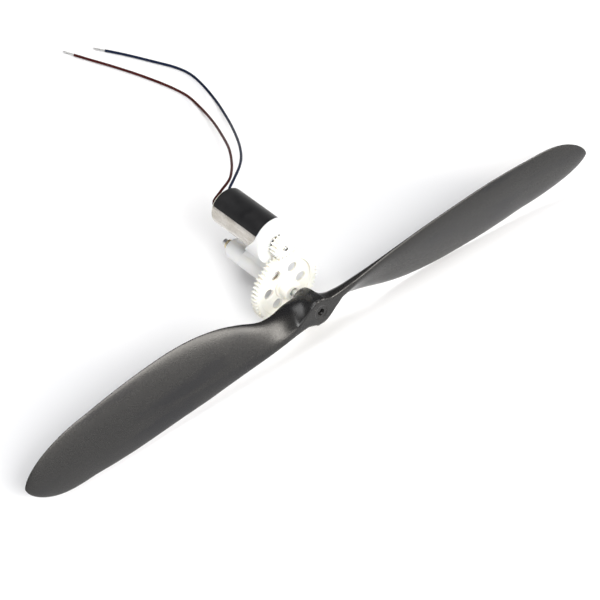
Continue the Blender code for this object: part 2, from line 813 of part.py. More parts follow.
def main():
    clear_scene()
    mats = {
        "prop": make_material("moulded_grey", (0.075, 0.075, 0.078), 0.38),
        "nylon": make_material("white_nylon", (0.86, 0.85, 0.76), 0.42),
        "gear": make_material("gear_acetal", (0.88, 0.87, 0.78), 0.38),
        "steel": make_material("can_steel", (0.62, 0.60, 0.57), 0.28, 1.0),
        "steel_bright": make_material("shaft_steel", (0.70, 0.70, 0.69), 0.2, 1.0),
        "label": make_material("black_label", (0.035, 0.035, 0.038), 0.4),
        "cream": make_material("end_cap_plastic", (0.80, 0.78, 0.68), 0.5),
        "brass": make_material("brass", (0.80, 0.60, 0.28), 0.3, 1.0),
        "bronze": make_material("sintered_bronze", (0.55, 0.38, 0.20), 0.45, 1.0),
        "magnet": make_material("magnet_nickel", (0.45, 0.45, 0.46), 0.35, 1.0),
        "copper": make_material("copper", (0.85, 0.42, 0.22), 0.35, 1.0),
        "resin": make_material("rotor_resin", (0.16, 0.10, 0.06), 0.55),
        "red": make_material("lead_red", (0.62, 0.03, 0.02), 0.4),
        "blue": make_material("lead_blue", (0.03, 0.09, 0.50), 0.4),
        "tin": make_material("tinned_copper", (0.72, 0.72, 0.70), 0.3, 1.0),
    }
    build_propeller(mats["prop"])
    rod("prop_shaft", SHAFT_R, SHAFT_FRONT, SHAFT_REAR, 0.0, mats["steel_bright"])
    build_main_gear(mats["gear"])
    build_pinion(mats["gear"])
    build_gearbox(mats["nylon"])
    build_bushing("front_bushing", TUBE_FRONT, TUBE_FRONT + 2.5, True, mats["bronze"])
    build_bushing("rear_bushing", TUBE_REAR - 2.5, TUBE_REAR, False, mats["bronze"])
    ring("rear_washer", SHAFT_R + 0.06, 1.3, TUBE_REAR + 0.32, TUBE_REAR + 0.57, 0.0,
         mats["steel_bright"])
    ring("rear_collar", SHAFT_R + 0.05, 1.15, TUBE_REAR + 0.65, TUBE_REAR + 1.25, 0.0,
         mats["brass"], edge=0.12)
    build_motor(mats)
    build_leads(mats)


main()
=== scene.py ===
"""Looks of a geared two-blade propeller unit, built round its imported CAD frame.

Lengths in the functions below are millimetres measured from the propeller
shaft: x along the blades, y backwards along the shaft, z up.
"""

import json
import math

import bmesh
import bpy
import numpy as np
from mathutils import Matrix, Vector


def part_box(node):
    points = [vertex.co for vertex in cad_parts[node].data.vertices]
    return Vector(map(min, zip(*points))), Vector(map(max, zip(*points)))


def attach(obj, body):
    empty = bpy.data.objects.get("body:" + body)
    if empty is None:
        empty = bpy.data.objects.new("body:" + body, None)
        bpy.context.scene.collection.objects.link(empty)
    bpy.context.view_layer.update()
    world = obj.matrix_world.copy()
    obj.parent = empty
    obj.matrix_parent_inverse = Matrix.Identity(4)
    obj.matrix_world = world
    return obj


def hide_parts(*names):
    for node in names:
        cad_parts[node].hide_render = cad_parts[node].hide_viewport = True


MM = 0.001
SHAFT_PROUD = 1.75
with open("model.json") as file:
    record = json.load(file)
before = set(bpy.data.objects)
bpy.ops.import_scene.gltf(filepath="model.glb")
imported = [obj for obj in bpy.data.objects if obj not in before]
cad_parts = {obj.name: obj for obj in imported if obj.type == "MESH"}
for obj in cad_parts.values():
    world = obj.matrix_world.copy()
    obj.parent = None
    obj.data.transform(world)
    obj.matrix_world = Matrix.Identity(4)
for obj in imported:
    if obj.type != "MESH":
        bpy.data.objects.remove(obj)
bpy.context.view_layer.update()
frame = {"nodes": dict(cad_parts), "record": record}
NODES = frame["nodes"]

shaft_low, shaft_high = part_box("prop_shaft")
can_low, can_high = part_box("motor_can")
AXIS_Z = (shaft_low.z + shaft_high.z) / 2
PLANE_Y = shaft_low.y + SHAFT_PROUD * MM
CENTRE = ((can_low.z + can_high.z) / 2 - AXIS_Z) / MM


def place(x, y, z):
    """Shaft-centred millimetres to metres in the row frame."""
    return Vector((x * MM, PLANE_Y + y * MM, AXIS_Z + z * MM))


# ---------------------------------------------------------------- camera
CAMERA_SIDE = math.radians(38.957)
CAMERA_RISE = math.radians(40.906)
CAMERA_ROLL = math.radians(-2.608)
CAMERA_DISTANCE = 643.8
CAMERA_LENS = 187.8438
CAMERA_SENSOR = 36.0
# How far the middle of the view lies left of the hub and above it.
VIEW_LEFT = 2.7220
VIEW_ABOVE = 1.3035


def add_camera():
    """A long lens, 39 degrees to the propeller's left and 41 degrees up."""
    back = Vector((-math.sin(CAMERA_SIDE) * math.cos(CAMERA_RISE),
                   -math.cos(CAMERA_SIDE) * math.cos(CAMERA_RISE), math.sin(CAMERA_RISE)))
    right = Vector((math.cos(CAMERA_SIDE), -math.sin(CAMERA_SIDE), 0.0))
    up = back.cross(right)
    cam_x = right * math.cos(CAMERA_ROLL) + up * math.sin(CAMERA_ROLL)
    cam_y = up * math.cos(CAMERA_ROLL) - right * math.sin(CAMERA_ROLL)
    spot = back * CAMERA_DISTANCE - cam_x * VIEW_LEFT + cam_y * VIEW_ABOVE
    data = bpy.data.cameras.new("camera")
    data.lens = CAMERA_LENS
    data.sensor_width = CAMERA_SENSOR
    data.sensor_fit = "HORIZONTAL"
    data.clip_start = 0.01
    data.clip_end = 20.0
    cam = bpy.data.objects.new("camera", data)
    bpy.context.scene.collection.objects.link(cam)
    where = place(spot.x, spot.y, spot.z)
    cam.matrix_world = Matrix((
        (cam_x.x, cam_y.x, back.x, where.x),
        (cam_x.y, cam_y.y, back.y, where.y),
        (cam_x.z, cam_y.z, back.z, where.z),
        (0.0, 0.0, 0.0, 1.0),
    ))
    bpy.context.scene.camera = cam


# ---------------------------------------------------------------- materials
class Shade:
    """A small helper that builds one node material round a Principled shader."""

    def __init__(self, name, colour, rough, metal=0.0):
        self.mat = bpy.data.materials.new(name)
        self.mat.use_nodes = True
        self.tree = self.mat.node_tree
        self.bsdf = self.tree.nodes["Principled BSDF"]
        self.bsdf.inputs["Base Color"].default_value = (*colour, 1.0)
        self.bsdf.inputs["Roughness"].default_value = rough
        self.bsdf.inputs["Metallic"].default_value = metal
        self.mat.diffuse_color = (*colour, 1.0)
        self.coords = self.tree.nodes.new("ShaderNodeTexCoord").outputs["Object"]

    def scaled(self, sx, sy, sz):
        node = self.tree.nodes.new("ShaderNodeMapping")
        node.inputs["Scale"].default_value = (sx, sy, sz)
        self.tree.links.new(self.coords, node.inputs["Vector"])
        return node.outputs["Vector"]

    def noise(self, vector, scale, detail, rough):
        node = self.tree.nodes.new("ShaderNodeTexNoise")
        node.inputs["Scale"].default_value = scale
        node.inputs["Detail"].default_value = detail
        node.inputs["Roughness"].default_value = rough
        self.tree.links.new(vector, node.inputs["Vector"])
        return node.outputs["Fac"]

    def bands(self, vector, scale, distortion):
        """Even bands across y."""
        node = self.tree.nodes.new("ShaderNodeTexWave")
        node.bands_direction = "Y"
        node.inputs["Scale"].default_value = scale
        node.inputs["Distortion"].default_value = distortion
        self.tree.links.new(vector, node.inputs["Vector"])
        return node.outputs["Fac"]

    def ramp(self, value, low, high, colour_a, colour_b):
        node = self.tree.nodes.new("ShaderNodeValToRGB")
        node.color_ramp.elements[0].position = low
        node.color_ramp.elements[0].color = (*colour_a, 1.0)
        node.color_ramp.elements[1].position = high
        node.color_ramp.elements[1].color = (*colour_b, 1.0)
        self.tree.links.new(value, node.inputs["Fac"])
        return node.outputs["Color"]

    def remap(self, value, low, high, to_low, to_high):
        node = self.tree.nodes.new("ShaderNodeMapRange")
        node.inputs["From Min"].default_value = low
        node.inputs["From Max"].default_value = high
        node.inputs["To Min"].default_value = to_low
        node.inputs["To Max"].default_value = to_high
        self.tree.links.new(value, node.inputs["Value"])
        return node.outputs["Result"]

    def add(self, a, b):
        node = self.tree.nodes.new("ShaderNodeMath")
        node.operation = "ADD"
        self.tree.links.new(a, node.inputs[0])
        self.tree.links.new(b, node.inputs[1])
        return node.outputs[0]

    def bump(self, height, distance, strength):
        node = self.tree.nodes.new("ShaderNodeBump")
        node.inputs["Distance"].default_value = distance
        node.inputs["Strength"].default_value = strength
        self.tree.links.new(height, node.inputs["Height"])
        self.tree.links.new(node.outputs["Normal"], self.bsdf.inputs["Normal"])

    def to(self, output, socket):
        self.tree.links.new(output, self.bsdf.inputs[socket])

    def fixed(self, socket, value):
        self.bsdf.inputs[socket].default_value = value


def prop_plastic():
    """Near-black filled plastic with a faint grain and soft flow marks."""
    s = Shade("prop_plastic", (0.008, 0.008, 0.009), 0.26)
    flow = s.noise(s.scaled(26.0, 240.0, 240.0), 1.0, 3.0, 0.5)
    cloud = s.noise(s.coords, 70.0, 3.0, 0.55)
    fine = s.noise(s.coords, 3800.0, 3.0, 0.65)
    s.to(s.ramp(s.add(flow, cloud), 0.8, 1.25, (0.0035, 0.0035, 0.005), (0.0095, 0.0092, 0.009)),
         "Base Color")
    s.to(s.remap(s.add(flow, fine), 0.75, 1.3, 0.22, 0.33), "Roughness")
    s.bump(fine, 0.00003, 0.35)
    s.fixed("Specular IOR Level", 0.36)
    return s.mat


def white_plastic(name, colour, deep, rough):
    """Warm white engineering plastic that lets a little light in."""
    s = Shade(name, colour, rough)
    cloud = s.noise(s.coords, 420.0, 3.0, 0.5)
    fine = s.noise(s.coords, 4200.0, 2.0, 0.55)
    s.to(s.ramp(cloud, 0.3, 0.75, deep, colour), "Base Color")
    s.to(s.remap(fine, 0.3, 0.7, rough - 0.05, rough + 0.07), "Roughness")
    s.bump(fine, 0.00002, 0.3)
    s.fixed("Subsurface Weight", 0.25)
    s.fixed("Subsurface Radius", (0.0011, 0.0009, 0.0006))
    s.fixed("Subsurface Scale", 1.0)
    return s.mat


def drawn_steel():
    """Bright plated can with fine lengthwise draw lines and small smears."""
    s = Shade("can_steel", (0.60, 0.57, 0.52), 0.24, 1.0)
    lines = s.noise(s.scaled(9000.0, 260.0, 9000.0), 1.0, 3.0, 0.6)
    smear = s.noise(s.scaled(700.0, 260.0, 700.0), 1.0, 3.0, 0.6)
    s.to(s.ramp(smear, 0.35, 0.7, (0.47, 0.44, 0.39), (0.68, 0.65, 0.61)), "Base Color")
    s.to(s.remap(s.add(lines, smear), 0.7, 1.3, 0.20, 0.34), "Roughness")
    s.bump(lines, 0.0000015, 0.5)
    return s.mat


def bright_steel():
    """Ground steel rod with fine rings round it."""
    s = Shade("bright_steel", (0.66, 0.66, 0.65), 0.2, 1.0)
    rings = s.noise(s.scaled(300.0, 9000.0, 300.0), 1.0, 3.0, 0.6)
    s.to(s.remap(rings, 0.3, 0.7, 0.14, 0.3), "Roughness")
    s.to(s.ramp(rings, 0.3, 0.7, (0.56, 0.56, 0.55), (0.72, 0.72, 0.71)), "Base Color")
    s.bump(rings, 0.000005, 0.4)
    return s.mat


def label_film():
    """Charcoal plastic film wrapped round the can."""
    s = Shade("label_film", (0.010, 0.010, 0.0105), 0.4)
    cloud = s.noise(s.coords, 260.0, 4.0, 0.6)
    fine = s.noise(s.coords, 3600.0, 2.0, 0.6)
    s.to(s.ramp(cloud, 0.3, 0.7, (0.006, 0.006, 0.0065), (0.012, 0.0115, 0.012)), "Base Color")
    s.to(s.remap(cloud, 0.3, 0.7, 0.34, 0.5), "Roughness")
    s.bump(fine, 0.00001, 0.35)
    s.fixed("Specular IOR Level", 0.38)
    return s.mat


def soft_metal(name, colour, deep, rough, scale=1500.0, depth=0.00001):
    """Bronze, brass, copper, nickel or solder: a slightly uneven metal."""
    s = Shade(name, colour, rough, 1.0)
    cloud = s.noise(s.coords, scale, 3.0, 0.6)
    fine = s.noise(s.coords, scale * 5.0, 2.0, 0.6)
    s.to(s.ramp(cloud, 0.3, 0.7, deep, colour), "Base Color")
    s.to(s.remap(cloud, 0.3, 0.7, rough - 0.08, rough + 0.12), "Roughness")
    s.bump(fine, depth, 0.4)
    return s.mat


def winding():
    """Enamelled copper wire laid side by side, with painted shade in the grooves between turns."""
    s = Shade("copper_wire", (0.62, 0.24, 0.09), 0.3, 1.0)
    turns = s.bands(s.coords, 3800.0, 0.6)
    # The darker end of this ramp is painted shade in the grooves between turns; the wire's own
    # colour is the lighter end.
    s.to(s.ramp(turns, 0.1, 0.8, (0.30, 0.10, 0.04), (0.72, 0.30, 0.12)), "Base Color")
    s.bump(turns, 0.00004, 0.8)
    return s.mat


def dull(name, colour, deep, rough, gloss=0.5):
    """A plain matt plastic or resin with an uneven tone."""
    s = Shade(name, colour, rough)
    cloud = s.noise(s.coords, 900.0, 3.0, 0.6)
    fine = s.noise(s.coords, 4500.0, 2.0, 0.6)
    s.fixed("Specular IOR Level", gloss)
    s.to(s.ramp(cloud, 0.3, 0.7, deep, colour), "Base Color")
    s.to(s.remap(fine, 0.3, 0.7, rough - 0.06, rough + 0.08), "Roughness")
    s.bump(fine, 0.00001, 0.4)
    return s.mat


def make_materials():
    """One material for each material slot of the part, under the slot's name."""
    return {
        "prop_plastic": prop_plastic(),
        "gear_acetal": white_plastic("gear_acetal", (0.885, 0.875, 0.815),
                                     (0.85, 0.835, 0.76), 0.34),
        "white_nylon": white_plastic("white_nylon", (0.88, 0.88, 0.865),
                                     (0.845, 0.845, 0.825), 0.42),
        "end_cap_plastic": white_plastic("end_cap_plastic", (0.82, 0.80, 0.70),
                                         (0.74, 0.71, 0.60), 0.45),
        "can_steel": drawn_steel(),
        "bright_steel": bright_steel(),
        "label_film": label_film(),
        "sintered_bronze": soft_metal("sintered_bronze", (0.46, 0.36, 0.25),
                                      (0.34, 0.26, 0.17), 0.44, 3000.0, 0.00003),
        "brass_trim": soft_metal("brass_trim", (0.74, 0.64, 0.42), (0.62, 0.51, 0.31), 0.28),
        "magnet_nickel": soft_metal("magnet_nickel", (0.50, 0.49, 0.47), (0.40, 0.39, 0.38), 0.34),
        "copper_wire": winding(),
        "commutator_metal": soft_metal("commutator_metal", (0.80, 0.66, 0.40),
                                       (0.62, 0.46, 0.24), 0.26),
        "tin_solder": soft_metal("tin_solder", (0.70, 0.70, 0.68), (0.52, 0.52, 0.51), 0.3),
        "rotor_resin": dull("rotor_resin", (0.15, 0.09, 0.05), (0.10, 0.06, 0.03), 0.5),
        "lead_red": dull("lead_red", (0.060, 0.007, 0.0055), (0.040, 0.005, 0.004), 0.46, 0.12),
        "lead_blue": dull("lead_blue", (0.005, 0.011, 0.036), (0.0035, 0.0075, 0.023), 0.46, 0.12),
    }


def dress_cad(mats):
    """Give every carried-over CAD node the material of its slot."""
    for entry in frame["record"]["subparts"]:
        obj = NODES[entry["node"]]
        obj.data.materials.clear()
        obj.data.materials.append(mats[entry["material_slot"]])


# ---------------------------------------------------------------- leads
# The same routes as the CAD leads, in millimetres from the propeller shaft.
LEAD_R = 0.3
LEAD_SPACING = 0.8
LEAD_FLOOR = -AXIS_Z / MM + LEAD_R + 0.12
ROUTE_STEPS = 24
RED_ROUTE = (
    (-2.2, 26.6, CENTRE),
    (-2.15, 28.2, CENTRE + 0.05),
    (-1.2, 29.9, CENTRE),
    (2.4, 32.1, 10.0),
    (6.9, 34.7, 9.2),
    (10.2, 38.0, 7.9),
    (13.9, 42.6, 5.9),
    (18.6, 49.4, 2.9),
    (23.4, 57.7, -1.0),
    (28.6, 67.8, -5.3),
    (31.9, 76.3, -8.0),
    (32.9, 82.3, LEAD_FLOOR),
    (32.3, 87.0, LEAD_FLOOR),
    (31.2, 91.5, LEAD_FLOOR),
    (29.6, 96.8, LEAD_FLOOR),
    (27.3, 103.2, LEAD_FLOOR),
    (24.9, 109.2, LEAD_FLOOR),
    (23.6, 112.6, LEAD_FLOOR),
)
BLUE_ROUTE = (
    (2.2, 26.6, CENTRE),
    (2.3, 28.4, CENTRE + 0.05),
    (3.4, 30.5, 10.5),
    (7.0, 33.3, 10.0),
    (11.3, 36.8, 8.8),
    (15.2, 40.9, 6.8),
    (20.4, 47.8, 3.3),
    (26.2, 56.8, -1.1),
    (31.8, 66.6, -5.4),
    (36.3, 76.5, -8.1),
    (38.2, 83.9, LEAD_FLOOR),
    (38.6, 88.4, LEAD_FLOOR),
    (37.9, 92.2, LEAD_FLOOR),
    (35.0, 98.9, LEAD_FLOOR),
    (31.8, 105.6, LEAD_FLOOR),
    (29.9, 109.0, LEAD_FLOOR),
)


def smooth_route(points):
    """Even points along a smooth curve through the given points, and its length."""
    pts = [np.array(p, dtype=float) for p in points]
    dense = []
    for i in range(len(pts) - 1):
        p0 = pts[i - 1] if i > 0 else 2 * pts[0] - pts[1]
        p1 = pts[i]
        p2 = pts[i + 1]
        p3 = pts[i + 2] if i + 2 < len(pts) else 2 * pts[-1] - pts[-2]
        t01 = np.linalg.norm(p1 - p0) ** 0.5
        t12 = np.linalg.norm(p2 - p1) ** 0.5
        t23 = np.linalg.norm(p3 - p2) ** 0.5
        m1 = p2 - p1 + t12 * ((p1 - p0) / t01 - (p2 - p0) / (t01 + t12))
        m2 = p2 - p1 + t12 * ((p3 - p2) / t23 - (p3 - p1) / (t12 + t23))
        for k in range(ROUTE_STEPS):
            t = k / ROUTE_STEPS
            a = 2 * t ** 3 - 3 * t ** 2 + 1
            b = t ** 3 - 2 * t ** 2 + t
            c = 3 * t ** 2 - 2 * t ** 3
            d = t ** 3 - t ** 2
            dense.append(a * p1 + b * m1 + c * p2 + d * m2)
    dense.append(pts[-1])
    dense = np.array(dense)
    steps = np.linalg.norm(np.diff(dense, axis=0), axis=1)
    reach = np.concatenate(([0.0], np.cumsum(steps)))
    count = int(round(reach[-1] / LEAD_SPACING))
    wanted = np.linspace(0.0, reach[-1], count + 1)
    out = [np.interp(wanted, reach, dense[:, k]) for k in range(3)]
    return np.stack(out, axis=1), float(reach[-1])


def lead_curve(name, points, material):
    """A round insulated wire through the points."""
    curve = bpy.data.curves.new(name, "CURVE")
    curve.dimensions = "3D"
    curve.bevel_depth = LEAD_R * MM
    curve.bevel_resolution = 4
    curve.use_fill_caps = True
    spline = curve.splines.new("POLY")
    spline.points.add(len(points) - 1)
    for k, point in enumerate(points):
        spot = place(*point)
        spline.points[k].co = (spot.x, spot.y, spot.z, 1.0)
    spline.use_smooth = True
    curve.materials.append(material)
    obj = bpy.data.objects.new(name, curve)
    bpy.context.scene.collection.objects.link(obj)
    return obj


def add_leads(mats):
    """Both leads, each a wire curve that ends in bare strands."""
    for name, route in (("red", RED_ROUTE), ("blue", BLUE_ROUTE)):
        points, length = smooth_route(route)
        lead = lead_curve("lead_" + name, points, mats["lead_" + name])
        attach(lead, "power_unit")
        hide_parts(name + "_lead")
        end = points[-1]
        heading = end - points[-2]
        heading = heading / np.linalg.norm(heading)
        strands = add_strands(mats, name, end, heading)


STRAND_R = 0.07
STRAND_LAY_R = 0.125
STRAND_LENGTH = 2.95
STRAND_TWIST = 2.1
STRAND_RINGS = 25
STRAND_SIDES = 8


def add_strands(mats, name, start, heading):
    """Tinned strands at the stripped end of a lead: six twisted round a seventh."""
    side = np.array((-heading[1], heading[0], 0.0))
    side = side / np.linalg.norm(side)
    lift = np.cross(heading, side)
    bm = bmesh.new()
    for strand in range(7):
        off = 0.0 if strand == 6 else STRAND_LAY_R
        rings = []
        for k in range(STRAND_RINGS):
            run = 0.02 + STRAND_LENGTH * k / (STRAND_RINGS - 1)
            turn = run * STRAND_TWIST + strand * math.pi / 3.0
            centre = start + heading * run + off * (math.cos(turn) * side + math.sin(turn) * lift)
            ring = []
            for j in range(STRAND_SIDES):
                angle = 2.0 * math.pi * j / STRAND_SIDES
                spot = centre + STRAND_R * (math.cos(angle) * side + math.sin(angle) * lift)
                ring.append(bm.verts.new(spot))
            rings.append(ring)
        skin(bm, rings)
        bm.faces.new(rings[0][::-1])
        bm.faces.new(rings[-1])
    return add_piece(mats, "strands_" + name, bm, "tin_solder", "power_unit",
                     name + "_tinned_end")


# ---------------------------------------------------------------- mesh tools
def skin(bm, rings):
    """Quads between rings of equal length."""
    for a, b in zip(rings[:-1], rings[1:]):
        count = len(a)
        for k in range(count):
            n = (k + 1) % count
            bm.faces.new((a[k], a[n], b[n], b[k]))


def finish_mesh(name, bm, material, sharp):
    """Turn a bmesh into a smooth object, with edges over sharp degrees kept crisp."""
    bmesh.ops.recalc_face_normals(bm, faces=bm.faces)
    mesh = bpy.data.meshes.new(name)
    bm.to_mesh(mesh)
    bm.free()
    mesh.materials.append(material)
    mesh.shade_smooth()
    mesh.set_sharp_from_angle(angle=math.radians(sharp))
    obj = bpy.data.objects.new(name, mesh)
    bpy.context.scene.collection.objects.link(obj)
    return obj


# ---------------------------------------------------------------- propeller
PROP_RADIUS = 76.2
TIP_START = 60.0
TIP_END = 75.96
ROOT_START = 1.2
HUB_FRONT = -2.55
HUB_REAR = 4.0
# Radius, chord, pitch in degrees, and how far the middle of the chord stands
# back and up on the -X blade: the same stations as the CAD propeller.
BLADE_STATIONS = (
    (ROOT_START, 6.8, 54.0, 0.25, 0.15),
    (6.0, 6.9, 46.0, 0.00, -0.05),
    (10.0, 7.0, 31.0, -0.45, -0.35),
    (14.0, 8.1, 21.0, -0.70, -0.28),
    (19.0, 10.8, 16.6, -0.48, 0.40),
    (24.0, 13.1, 14.4, -0.34, 0.93),
    (30.0, 15.0, 12.9, -0.30, 1.15),
    (36.0, 15.9, 11.6, -0.34, 1.10),
    (42.0, 16.25, 10.4, -0.50, 0.75),
    (48.0, 16.2, 9.4, -0.72, 0.33),
    (54.0, 15.6, 8.8, -0.93, -0.10),
    (60.0, 14.6, 8.3, -1.16, -0.50),
    (68.0, 14.6, 7.4, -1.72, -0.90),
    (PROP_RADIUS, 14.6, 7.0, -2.50, -0.45),
)


def smooth_value(x, column):
    """Read one column of the blade table with a smooth cubic."""
    xs = [row[0] for row in BLADE_STATIONS]
    ys = [row[column] for row in BLADE_STATIONS]
    i = 0
    while i < len(xs) - 2 and x > xs[i + 1]:
        i += 1
    span = xs[i + 1] - xs[i]
    t = min(max((x - xs[i]) / span, 0.0), 1.0)
    before = max(i - 1, 0)
    after = min(i + 2, len(xs) - 1)
    slope_a = (ys[i + 1] - ys[before]) / (xs[i + 1] - xs[before]) * span
    slope_b = (ys[after] - ys[i]) / (xs[after] - xs[i]) * span
    t2 = t * t
    t3 = t2 * t
    return (
        (2 * t3 - 3 * t2 + 1) * ys[i]
        + (t3 - 2 * t2 + t) * slope_a
        + (3 * t2 - 2 * t3) * ys[i + 1]
        + (t3 - t2) * slope_b
    )


def smooth_step(x, low, high):
    """0 up to low, 1 from high, and smooth in between."""
    t = min(max((x - low) / (high - low), 0.0), 1.0)
    return t * t * (3.0 - 2.0 * t)


SHOULDER_END = 5.9
SHOULDER_SLOPE = 0.66
SHOULDER_BEND = 0.06
SHOULDER_LIFT = 1.15


def shoulder(radius):
    """How much fuller the front of the blade is near the hub, whose face cuts it flat."""
    ramp = SHOULDER_SLOPE * (SHOULDER_END - radius)
    return 0.5 * (ramp + math.sqrt(ramp * ramp + SHOULDER_BEND))


SECTION_HALF = 44
FULL_CAMBER = 0.055
FULL_CAMBER_FROM = 24.0
# Thickness: the tip's, what the root adds and how fast that fades, and the taper.
BLADE_THICK = 0.62
ROOT_THICK = 3.0
ROOT_FADE = 9.0
TAPER = 0.35
TIP_THICK_SHARE = 0.35
TIP_BLUNTNESS = 0.62


def blade_section(radius):
    """The (y, z) loop of the -X blade at one radius, and a point inside it."""
    chord = smooth_value(radius, 1)
    pitch = math.radians(smooth_value(radius, 2))
    mid_y = smooth_value(radius, 3)
    mid_z = smooth_value(radius, 4)
    thick = (BLADE_THICK + ROOT_THICK * math.exp(-radius / ROOT_FADE)
             + TAPER * (1.0 - radius / PROP_RADIUS))
    camber = FULL_CAMBER * min(1.0, radius / FULL_CAMBER_FROM)
    if radius > TIP_START:
        x = (radius - TIP_START) / (TIP_END - TIP_START)
        shrink = (1.0 - x * x) ** TIP_BLUNTNESS
        chord *= shrink
        thick *= TIP_THICK_SHARE + (1.0 - TIP_THICK_SHARE) * shrink ** 0.5
    k = np.arange(SECTION_HALF + 1)
    s = 0.5 - 0.5 * np.cos(math.pi * k / SECTION_HALF)
    body = np.sqrt(np.maximum(1.0 - (2.0 * s - 1.0) ** 4, 0.0))
    half = 0.5 * thick * body * (1.15 - 0.55 * s)
    arch = 4.0 * camber * chord * s * (1.0 - s)
    run = (s - 0.5) * chord
    along = (math.sin(pitch), math.cos(pitch))
    front = (-math.cos(pitch), math.sin(pitch))
    sides = []
    for side in (1.0, -1.0):
        lift = arch + side * half
        if side > 0.0:
            fade = (1.0 - s) * (1.0 - (1.0 - s) ** 12)
            lift = lift + SHOULDER_LIFT * shoulder(radius) * fade
        y = mid_y + along[0] * run + front[0] * lift
        z = mid_z + along[1] * run + front[1] * lift
        sides.append(np.stack([y, z], axis=1))
    loop = np.concatenate([sides[0], sides[1][-2:0:-1]])
    middle = camber * chord
    core = np.array((mid_y + front[0] * middle, mid_z + front[1] * middle))
    return loop, core


def loop_distance(points, loop):
    """Signed distance from points to a closed 2-D loop, negative inside."""
    a = loop
    b = np.roll(loop, -1, axis=0)
    ab = b - a
    length = np.maximum((ab ** 2).sum(1), 1e-12)
    pa = points[:, None, :] - a[None]
    t = np.clip((pa * ab[None]).sum(2) / length, 0.0, 1.0)
    gap = pa - t[..., None] * ab[None]
    dist = np.sqrt((gap ** 2).sum(2).min(1))
    crosses = (a[None, :, 1] > points[:, None, 1]) != (b[None, :, 1] > points[:, None, 1])
    rise = np.where(np.abs(ab[:, 1]) < 1e-12, 1e-12, ab[:, 1])
    at = a[None, :, 0] + (points[:, None, 1] - a[None, :, 1]) / rise[None] * ab[None, :, 0]
    inside = (crosses & (points[:, None, 0] < at)).sum(1) % 2 == 1
    return np.where(inside, -dist, dist)


HUB_R = 3.2
HUB_WAIST_R = 2.75
HUB_REAR_R = 2.4
HUB_ROUND = 0.3
HUB_SIDE = (
    (HUB_REAR_R - HUB_ROUND, HUB_REAR - HUB_ROUND),
    (HUB_WAIST_R - HUB_ROUND, 0.4),
    (HUB_R - HUB_ROUND, -1.2),
    (HUB_R - HUB_ROUND, HUB_FRONT - 1.0),
)
HUB_PROFILE = np.array(HUB_SIDE + tuple((-r, y) for r, y in reversed(HUB_SIDE)))


def hub_distance(x, points):
    """Distance to the turned hub at (x, y, z), negative inside; it has no front face yet."""
    radius = np.sqrt(x * x + points[:, 1] ** 2)
    return loop_distance(np.stack([radius, points[:, 0]], axis=1), HUB_PROFILE) - HUB_ROUND


def smooth_union(a, b, width):
    """The smaller of two distances, with a fillet where they meet."""
    h = np.maximum(width - np.abs(a - b), 0.0) / width
    return np.minimum(a, b) - h * h * width * 0.25


def blade_loop(radius, side):
    """The loop ordered from its low edge, up the front face and down the back."""
    loop, core = blade_section(radius)
    if side < 0.0:
        return loop, core
    loop = np.roll((loop * (1.0, -1.0))[::-1], SECTION_HALF + 1, axis=0)
    return loop, core * (1.0, -1.0)


def ray_angles(loop, core):
    """Directions from core to the loop's points, unwound and starting below."""
    gap = loop - core
    angles = np.unwrap(np.arctan2(gap[:, 1], gap[:, 0]))
    return angles - 2.0 * math.pi * round((angles[0] + math.pi / 2.0) / (2.0 * math.pi))


# Rays find the skin within HUB_REACH; from HUB_CLEAR on the bare blade takes over.
HUB_REACH = 10.0
HUB_CLEAR = 7.0
HUB_TURN = 3.4
HUB_FILLET = 1.2
FACE_ROUND = 0.3
RAY_LENGTH = 8.0
RAY_STEPS = 41


def prop_ring(x):
    """One (y, z) loop of the whole propeller at station x.

    Within HUB_REACH, rays from inside the blade find the skin of the two blades
    and the hub, joined by a fillet and cut flat in front.
    """
    radius = max(abs(x), ROOT_START)
    if abs(x) > HUB_REACH:
        return blade_loop(radius, x)[0]
    loop_a, core_a = blade_loop(radius, -1.0)
    loop_b, core_b = blade_loop(radius, 1.0)
    turn = smooth_step(x, -HUB_TURN, HUB_TURN)
    core = core_a * (1.0 - turn) + core_b * turn
    angles = ray_angles(loop_a, core_a) * (1.0 - turn) + ray_angles(loop_b, core_b) * turn
    rays = np.stack([np.cos(angles), np.sin(angles)], axis=1)

    def whole(spots):
        flat = spots.reshape(-1, 2)
        parts = []
        if x < ROOT_START:
            parts.append(loop_distance(flat, loop_a))
        if x > -ROOT_START:
            parts.append(loop_distance(flat, loop_b))
        blade = np.minimum(parts[0], parts[-1])
        joined = smooth_union(blade, hub_distance(x, flat), HUB_FILLET)
        return -smooth_union(-joined, flat[:, 0] - HUB_FRONT, FACE_ROUND)

    steps = np.linspace(0.0, RAY_LENGTH, RAY_STEPS)
    field = whole(core + rays[:, None, :] * steps[None, :, None]).reshape(len(rays), -1)
    first = np.maximum(np.argmax(field > 0.0, axis=1), 1)
    index = np.arange(len(rays))
    near, far = steps[first - 1], steps[first]
    low, high = field[index, first - 1], field[index, first]
    for _ in range(3):
        reach = near + low / (low - high) * (far - near)
        value = whole(core + rays * reach[:, None])
        out = value > 0.0
        far, high = np.where(out, reach, far), np.where(out, value, high)
        near, low = np.where(out, near, reach), np.where(out, low, value)
        low = np.minimum(low, -1e-9)
    grown = core + rays * reach[:, None]
    own = loop_a if x < 0.0 else loop_b
    share = smooth_step(abs(x), HUB_CLEAR, HUB_REACH)
    return grown * (1.0 - share) + own * share


